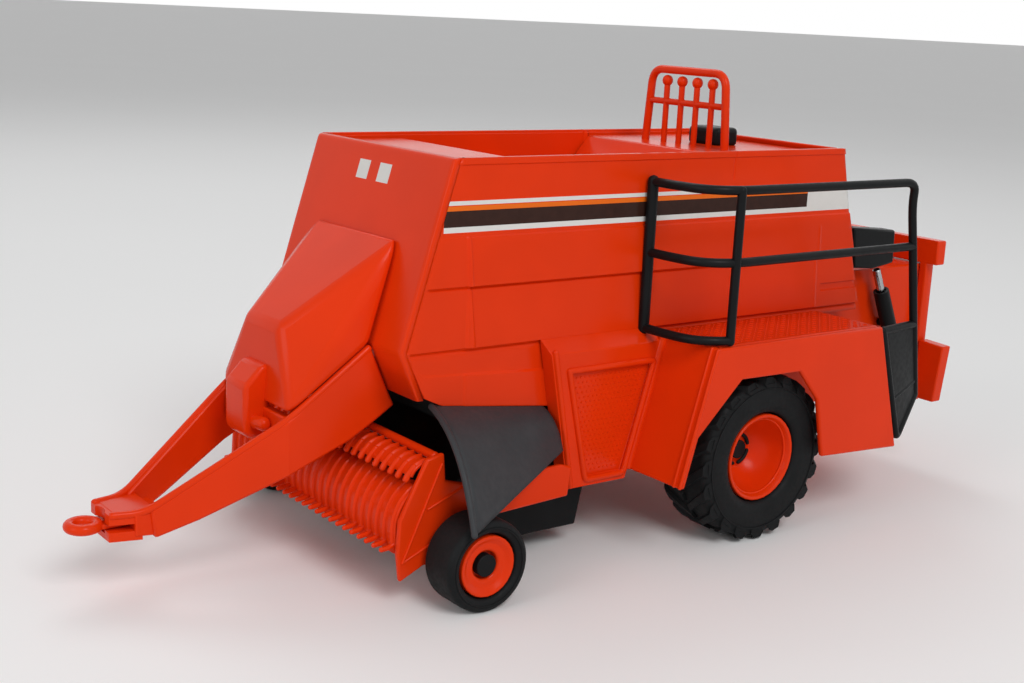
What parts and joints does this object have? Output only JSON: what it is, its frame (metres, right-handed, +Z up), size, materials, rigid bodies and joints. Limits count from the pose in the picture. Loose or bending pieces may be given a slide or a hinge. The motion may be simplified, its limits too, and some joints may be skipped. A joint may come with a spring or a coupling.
{
  "type": "toy scale model of a large square baler",
  "caption": "Toy farm implement: tall baler body on two tyred wheels, V drawbar with towing ring, pickup with gauge wheels, guard rail and open bale chamber.",
  "frame": {"origin": "on the floor, under the middle of the model's overall box", "axes": "+Z up, -Y towards the towing ring, +X to the model's left side, where the guard rail is"},
  "size_m": [0.0938, 0.2162, 0.0992],
  "materials": {
    "red_paint": "glossy orange-red enamel",
    "black_plastic": "black moulded plastic",
    "tyre_rubber": "soft black tyre rubber",
    "grey_rubber": "dark grey matt rubber sheet",
    "plated_steel": "bright plated rod"
  },
  "bodies": {
    "baler": {"front_fascia": "red_paint", "roof_deck": "red_paint", "rear_wall": "red_paint", "bale_chamber": "red_paint", "density_yoke": "red_paint", "towing_ring": "red_paint", "hitch_clevis": "red_paint", "driveline_cowl": "red_paint", "gearbox_housing": "red_paint", "drawbar_crossplate": "red_paint", "telltale_frame": "red_paint", "side_panel_left": "red_paint", "side_panel_right": "red_paint", "rear_side_box_left": "red_paint", "rear_side_box_right": "red_paint", "fender_left": "red_paint", "fender_right": "red_paint", "tread_plate_left": "red_paint", "tread_plate_right": "red_paint", "screen_box_left": "red_paint", "screen_box_right": "red_paint", "drawbar_beam_left": "red_paint", "drawbar_beam_right": "red_paint", "railing": "black_plastic", "feeder_housing": "black_plastic", "pickup_pivot_shaft": "black_plastic", "main_axle": "black_plastic", "cylinder_barrel_left": "black_plastic", "cylinder_barrel_right": "black_plastic", "tension_bracket_left": "black_plastic", "tension_bracket_right": "black_plastic", "rubber_skirt_left": "grey_rubber", "rubber_skirt_right": "grey_rubber", "cylinder_rod_left": "plated_steel", "cylinder_rod_right": "plated_steel"},
    "pickup": {"pickup_drum": "red_paint", "windguard": "red_paint", "pickup_cross_tube": "red_paint", "pickup_side_left": "red_paint", "pickup_side_right": "red_paint", "gauge_axle_left": "black_plastic", "gauge_axle_right": "black_plastic"},
    "main_wheel_left": {"main_tyre_left": "tyre_rubber", "main_rim_left": "red_paint"},
    "gauge_wheel_left": {"gauge_tyre_left": "tyre_rubber", "gauge_rim_left": "red_paint"},
    "main_wheel_right": {"main_tyre_right": "tyre_rubber", "main_rim_right": "red_paint"},
    "gauge_wheel_right": {"gauge_tyre_right": "tyre_rubber", "gauge_rim_right": "red_paint"}
  },
  "joints": [
    {"name": "pickup_float", "type": "hinge", "parent": "baler", "child": "pickup", "pos_m": [0, -0.01953, 0.019], "axis": [1, 0, 0], "range_deg": [0, 8]},
    {"name": "main_wheel_left_spin", "type": "hinge", "parent": "baler", "child": "main_wheel_left", "pos_m": [0.0356, 0.02987, 0.0185], "axis": [1, 0, 0], "continuous": true},
    {"name": "gauge_wheel_left_spin", "type": "hinge", "parent": "pickup", "child": "gauge_wheel_left", "pos_m": [0.04, -0.04403, 0.009], "axis": [1, 0, 0], "continuous": true},
    {"name": "main_wheel_right_spin", "type": "hinge", "parent": "baler", "child": "main_wheel_right", "pos_m": [-0.0356, 0.02987, 0.0185], "axis": [1, 0, 0], "continuous": true},
    {"name": "gauge_wheel_right_spin", "type": "hinge", "parent": "pickup", "child": "gauge_wheel_right", "pos_m": [-0.04, -0.04403, 0.009], "axis": [1, 0, 0], "continuous": true}
  ]
}
